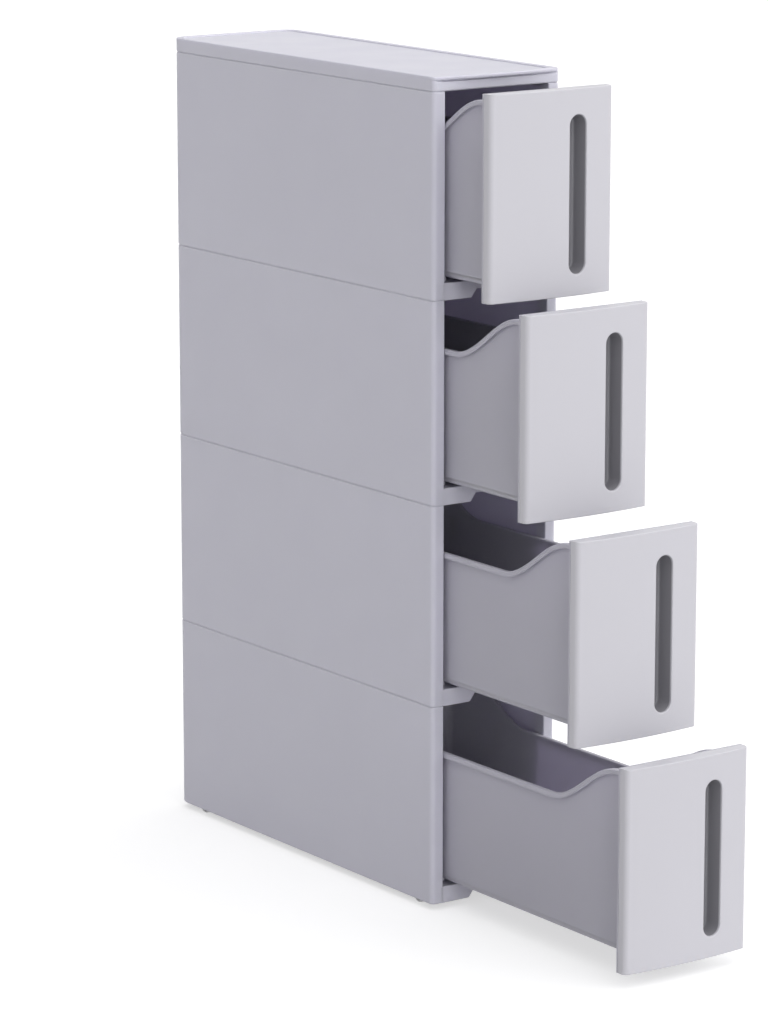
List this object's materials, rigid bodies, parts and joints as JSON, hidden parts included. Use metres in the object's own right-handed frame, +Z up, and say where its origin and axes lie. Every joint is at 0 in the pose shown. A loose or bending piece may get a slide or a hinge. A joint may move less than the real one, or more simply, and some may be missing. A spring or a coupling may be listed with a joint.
{
  "type": "storage tower",
  "caption": "Slim floor-standing drawer tower: stacked grey plastic casings under a lid, pull-out drawers with vertical handle slots, small wheels under the base.",
  "frame": {"origin": "on the floor under the middle of the whole thing, with the drawers part-way open as they stand", "axes": "+X across the front to the right as seen from the front, +Y to the back, +Z up; the drawers open towards -Y"},
  "size_m": [0.146, 0.7466, 0.8],
  "materials": {
    "casing_plastic": "satin moulded plastic, light grey",
    "bin_plastic": "satin moulded plastic, light grey",
    "front_plastic": "smooth satin moulded plastic, pale grey",
    "cup_plastic": "matte moulded plastic, dark grey",
    "wheel_plastic": "smooth moulded plastic, white"
  },
  "bodies": {
    "tower": {"lid": "casing_plastic", "casing_1": "casing_plastic", "casing_2": "casing_plastic", "casing_3": "casing_plastic", "casing_4": "casing_plastic", "axle_front_left": "wheel_plastic", "axle_front_right": "wheel_plastic", "axle_rear_left": "wheel_plastic", "axle_rear_right": "wheel_plastic"},
    "drawer_1": {"drawer_1_bin": "bin_plastic", "drawer_1_front": "front_plastic", "drawer_1_handle_cup": "cup_plastic"},
    "drawer_2": {"drawer_2_bin": "bin_plastic", "drawer_2_front": "front_plastic", "drawer_2_handle_cup": "cup_plastic"},
    "drawer_3": {"drawer_3_bin": "bin_plastic", "drawer_3_front": "front_plastic", "drawer_3_handle_cup": "cup_plastic"},
    "drawer_4": {"drawer_4_bin": "bin_plastic", "drawer_4_front": "front_plastic", "drawer_4_handle_cup": "cup_plastic"},
    "wheel_front_left": {"wheel_front_left": "wheel_plastic"},
    "wheel_front_right": {"wheel_front_right": "wheel_plastic"},
    "wheel_rear_left": {"wheel_rear_left": "wheel_plastic"},
    "wheel_rear_right": {"wheel_rear_right": "wheel_plastic"}
  },
  "joints": [
    {"name": "drawer_1_slide", "type": "slide", "parent": "tower", "child": "drawer_1", "axis": [0, -1, 0], "range_m": [-0.071, 0.259]},
    {"name": "drawer_2_slide", "type": "slide", "parent": "tower", "child": "drawer_2", "axis": [0, -1, 0], "range_m": [-0.128, 0.202]},
    {"name": "drawer_3_slide", "type": "slide", "parent": "tower", "child": "drawer_3", "axis": [0, -1, 0], "range_m": [-0.205, 0.125]},
    {"name": "drawer_4_slide", "type": "slide", "parent": "tower", "child": "drawer_4", "axis": [0, -1, 0], "range_m": [-0.28, 0.05]},
    {"name": "wheel_front_left_spin", "type": "hinge", "parent": "tower", "child": "wheel_front_left", "pos_m": [-0.0613, -0.04465, 0.009], "axis": [1, 0, 0], "continuous": true},
    {"name": "wheel_front_right_spin", "type": "hinge", "parent": "tower", "child": "wheel_front_right", "pos_m": [0.0613, -0.04465, 0.009], "axis": [1, 0, 0], "continuous": true},
    {"name": "wheel_rear_left_spin", "type": "hinge", "parent": "tower", "child": "wheel_rear_left", "pos_m": [-0.0613, 0.33335, 0.009], "axis": [1, 0, 0], "continuous": true},
    {"name": "wheel_rear_right_spin", "type": "hinge", "parent": "tower", "child": "wheel_rear_right", "pos_m": [0.0613, 0.33335, 0.009], "axis": [1, 0, 0], "continuous": true}
  ]
}
